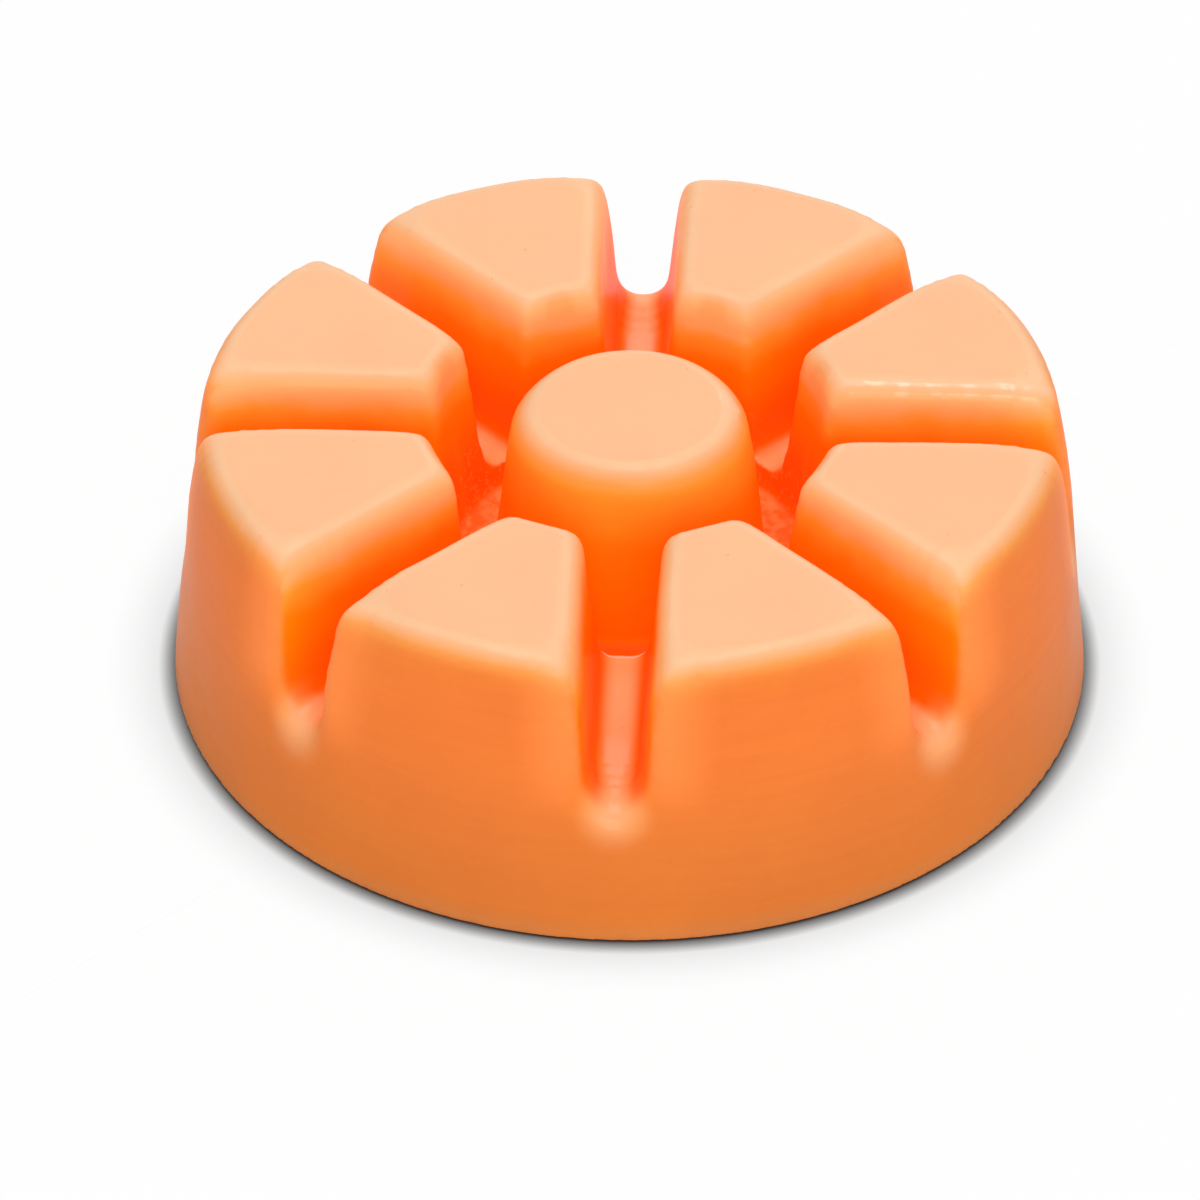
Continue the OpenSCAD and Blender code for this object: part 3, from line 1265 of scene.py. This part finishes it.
@dataclass(frozen=True)
class FloorFinish:
    """Plain white paper, with the soft dark contact of whatever stands on it."""

    paper: Colour = (0.90, 0.90, 0.90, 1)
    contact: float = 1.5 * MM
    contact_depth: float = 2.6
    falloff: float = 6.0 * MM
    falloff_depth: float = 0.52
    share: float = 0.95
    samples: int = 16

    def make(self) -> bpy.types.Material:
        """Build the paper.

        Returns:
            The material.
        """
        material = bpy.data.materials.new("white_paper")
        material.use_nodes = True
        material.node_tree.nodes.clear()
        sheet = Sheet(material.node_tree)
        paper = sheet.add("ShaderNodeBsdfDiffuse", Color=self.paper)
        open_air = sheet.times(self._open_air(sheet, self.contact, self.contact_depth),
                               self._open_air(sheet, self.falloff, self.falloff_depth))
        glow = sheet.add("ShaderNodeEmission", Color=WHITE, Strength=open_air)
        mixed = sheet.add("ShaderNodeMixShader",
                          i0=sheet.times(sheet.seen_plainly(), self.share),
                          i1=paper.outputs[0], i2=glow.outputs[0])
        sheet.add("ShaderNodeOutputMaterial", Surface=mixed.outputs[0])
        return material

    def _open_air(self, sheet: Sheet, reach: float, depth: float) -> bpy.types.NodeSocket:
        """Say how open each spot is within a reach, darkened by a power."""
        open_air = sheet.add("ShaderNodeAmbientOcclusion", {"samples": self.samples},
                             Distance=reach)
        return sheet.maths("POWER", open_air.outputs["AO"], depth)


# ---------------------------------------------------------------- the studio


Place = tuple[float, float, float]


def point_at(obj: bpy.types.Object, place: Place, aim: Place) -> None:
    """Put a light or the camera at a place, and point it at another.

    Args:
        obj: the light or the camera.
        place: where it stands.
        aim: what it looks at.
    """
    obj.location = place
    line = Vector(aim) - Vector(place)
    obj.rotation_euler = line.to_track_quat("-Z", "Y").to_euler()


@dataclass(frozen=True)
class Softbox:
    """One square softbox, hung at a place and pointed at the melt."""

    name: str
    place: Place
    size: float
    power: float


@dataclass
class Studio:
    """Floor, soft lights and the camera."""

    softboxes: tuple[Softbox, ...] = (
        Softbox("overhead_box", (0.0, 0.02, 0.75), 0.45, 1.72),
        Softbox("front_box", (0.17, -0.84, 0.42), 0.6, 3.25),
        Softbox("back_box", (0.0, 0.9, 0.5), 0.6, 2.1),
    )
    camera_place: Place = (0.0157, -0.4916, 0.3791)
    camera_aim: Place = (-0.0024, 0.0, 0.0053)
    lens: float = 228.7
    film: float = 36
    sight: float = 20
    floor_size: float = 12
    fill: float = 0.48

    def build(self) -> None:
        """Set up the floor, the lights, the world and the camera."""
        self._floor()
        self._world()
        for softbox in self.softboxes:
            self._hang(softbox)
        self._camera()

    def _floor(self) -> None:
        """Lay the paper."""
        put_down_everything()
        bpy.ops.mesh.primitive_plane_add(size=self.floor_size,
                                         location=(0, 0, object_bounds()[0][2]))
        floor = bpy.context.object
        floor.name = floor.data.name = "studio_floor"
        floor.data.materials.append(FloorFinish().make())
        floor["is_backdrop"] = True

    def _world(self) -> None:
        """Fill the room with plain white light."""
        world = bpy.data.worlds.new("white_room")
        bpy.context.scene.world = world
        world.use_nodes = True
        world.node_tree.nodes.clear()
        sheet = Sheet(world.node_tree)
        fill = sheet.add("ShaderNodeBackground", Color=WHITE, Strength=self.fill)
        white = sheet.add("ShaderNodeBackground", Color=WHITE, Strength=1.0)
        mixed = sheet.add("ShaderNodeMixShader", i0=sheet.seen_plainly(),
                          i1=fill.outputs[0], i2=white.outputs[0])
        sheet.add("ShaderNodeOutputWorld", Surface=mixed.outputs[0])

    def _hang(self, softbox: Softbox) -> None:
        """Hang one softbox, facing the middle of the melt.

        Args:
            softbox: where it hangs, how big and how bright it is.
        """
        light = bpy.data.lights.new(softbox.name, "AREA")
        light.shape = "SQUARE"
        light.size = softbox.size
        light.energy = softbox.power
        box = bpy.data.objects.new(softbox.name, light)
        bpy.context.collection.objects.link(box)
        point_at(box, softbox.place, (0, 0, PourSizes.height / 2))

    def _camera(self) -> None:
        """Stand the camera at the front, looking down at the melt."""
        data = bpy.data.cameras.new("camera")
        data.lens = self.lens
        data.sensor_width = self.film
        data.clip_end = self.sight
        camera = bpy.data.objects.new("camera", data)
        bpy.context.collection.objects.link(camera)
        point_at(camera, self.camera_place, self.camera_aim)
        bpy.context.scene.camera = camera


def main() -> None:
    """Build the melt, dress it and light it."""
    sizes = PourSizes()
    casting = WaxPour(sizes)
    wax = WaxFinish(sizes).make()
    for portion in casting.portions(casting.build()):
        portion.data.materials.clear()
        portion.data.materials.append(wax)
        LOG.info("%s: %d faces", portion.name, len(portion.data.polygons))
    Studio().build()
    bpy.context.scene.view_settings.view_transform = "Standard"


if __name__ == "__main__":
    main()
